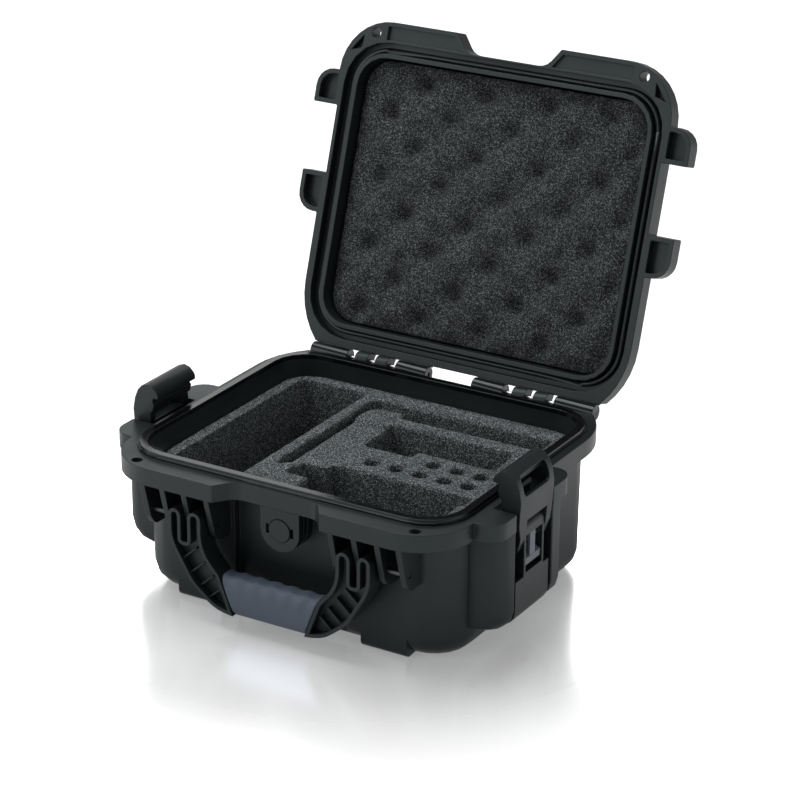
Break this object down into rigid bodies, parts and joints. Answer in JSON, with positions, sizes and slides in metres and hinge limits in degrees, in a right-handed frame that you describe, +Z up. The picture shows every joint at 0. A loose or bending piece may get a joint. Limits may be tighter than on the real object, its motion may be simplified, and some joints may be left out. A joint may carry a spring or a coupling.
{
  "type": "waterproof equipment case",
  "caption": "Small waterproof hard case with a hinged lid, side latches, folding front handle, pressure valve and cut foam inserts.",
  "frame": {"origin": "on the ground in the middle of the width, midway between the front edge of the rim and the hinge axis", "axes": "+X to the right across the front, +Y from the front towards the hinges, +Z up"},
  "size_m": [0.3198, 0.3657, 0.3522],
  "materials": {
    "shell": "satin, lightly textured black moulding",
    "foam": "open-cell charcoal foam",
    "seal": "soft matte seal",
    "grip": "soft blue-grey over-moulding",
    "steel": "bright pin"
  },
  "bodies": {
    "case": {"base_shell": "shell", "base_foam_pad": "foam", "base_foam_insert": "foam", "valve_body": "shell", "valve_cover": "shell", "valve_knob": "shell", "hinge_pin_left": "steel", "hinge_pin_right": "steel", "handle_pin_left": "steel", "handle_pin_right": "steel", "lever_pin_left": "steel", "lever_pin_right": "steel"},
    "lid": {"lid_shell": "shell", "lid_gasket": "seal", "lid_foam": "foam"},
    "handle": {"handle_frame": "shell", "handle_grip": "grip"},
    "lever_left": {"lever_left": "shell"},
    "lever_right": {"lever_right": "shell"},
    "lock_slide_left": {"lock_slide_left": "grip"},
    "lock_slide_right": {"lock_slide_right": "grip"},
    "claw_left": {"claw_left": "shell", "claw_pin_left": "steel"},
    "claw_right": {"claw_right": "shell", "claw_pin_right": "steel"}
  },
  "joints": [
    {"name": "lid_hinge", "type": "hinge", "parent": "case", "child": "lid", "pos_m": [0, 0.128, 0.1089], "axis": [1, 0, 0], "range_deg": [0, 108]},
    {"name": "handle_pivot", "type": "hinge", "parent": "case", "child": "handle", "pos_m": [0, -0.1135, 0.0734], "axis": [-1, 0, 0], "range_deg": [0, 95]},
    {"name": "lever_pivot_left", "type": "hinge", "parent": "case", "child": "lever_left", "pos_m": [-0.15, -0.031, 0.091], "axis": [0, 1, 0], "range_deg": [0, 90]},
    {"name": "claw_turn_left", "type": "hinge", "parent": "lever_left", "child": "claw_left", "pos_m": [-0.151, -0.031, 0.08], "axis": [0, 1, 0], "range_deg": [-112.5, 0]},
    {"name": "lock_slide_left", "type": "slide", "parent": "lever_left", "child": "lock_slide_left", "axis": [0, 0, -1], "range_m": [0, 0.004]},
    {"name": "lever_pivot_right", "type": "hinge", "parent": "case", "child": "lever_right", "pos_m": [0.15, -0.031, 0.091], "axis": [0, -1, 0], "range_deg": [0, 90]},
    {"name": "claw_turn_right", "type": "hinge", "parent": "lever_right", "child": "claw_right", "pos_m": [0.151, -0.031, 0.08], "axis": [0, -1, 0], "range_deg": [-112.5, 0]},
    {"name": "lock_slide_right", "type": "slide", "parent": "lever_right", "child": "lock_slide_right", "axis": [0, 0, -1], "range_m": [0, 0.004]}
  ],
  "couplings": [
    {"joint": "claw_turn_left", "follows": "lever_pivot_left", "ratio": -1.25},
    {"joint": "claw_turn_right", "follows": "lever_pivot_right", "ratio": -1.25}
  ]
}
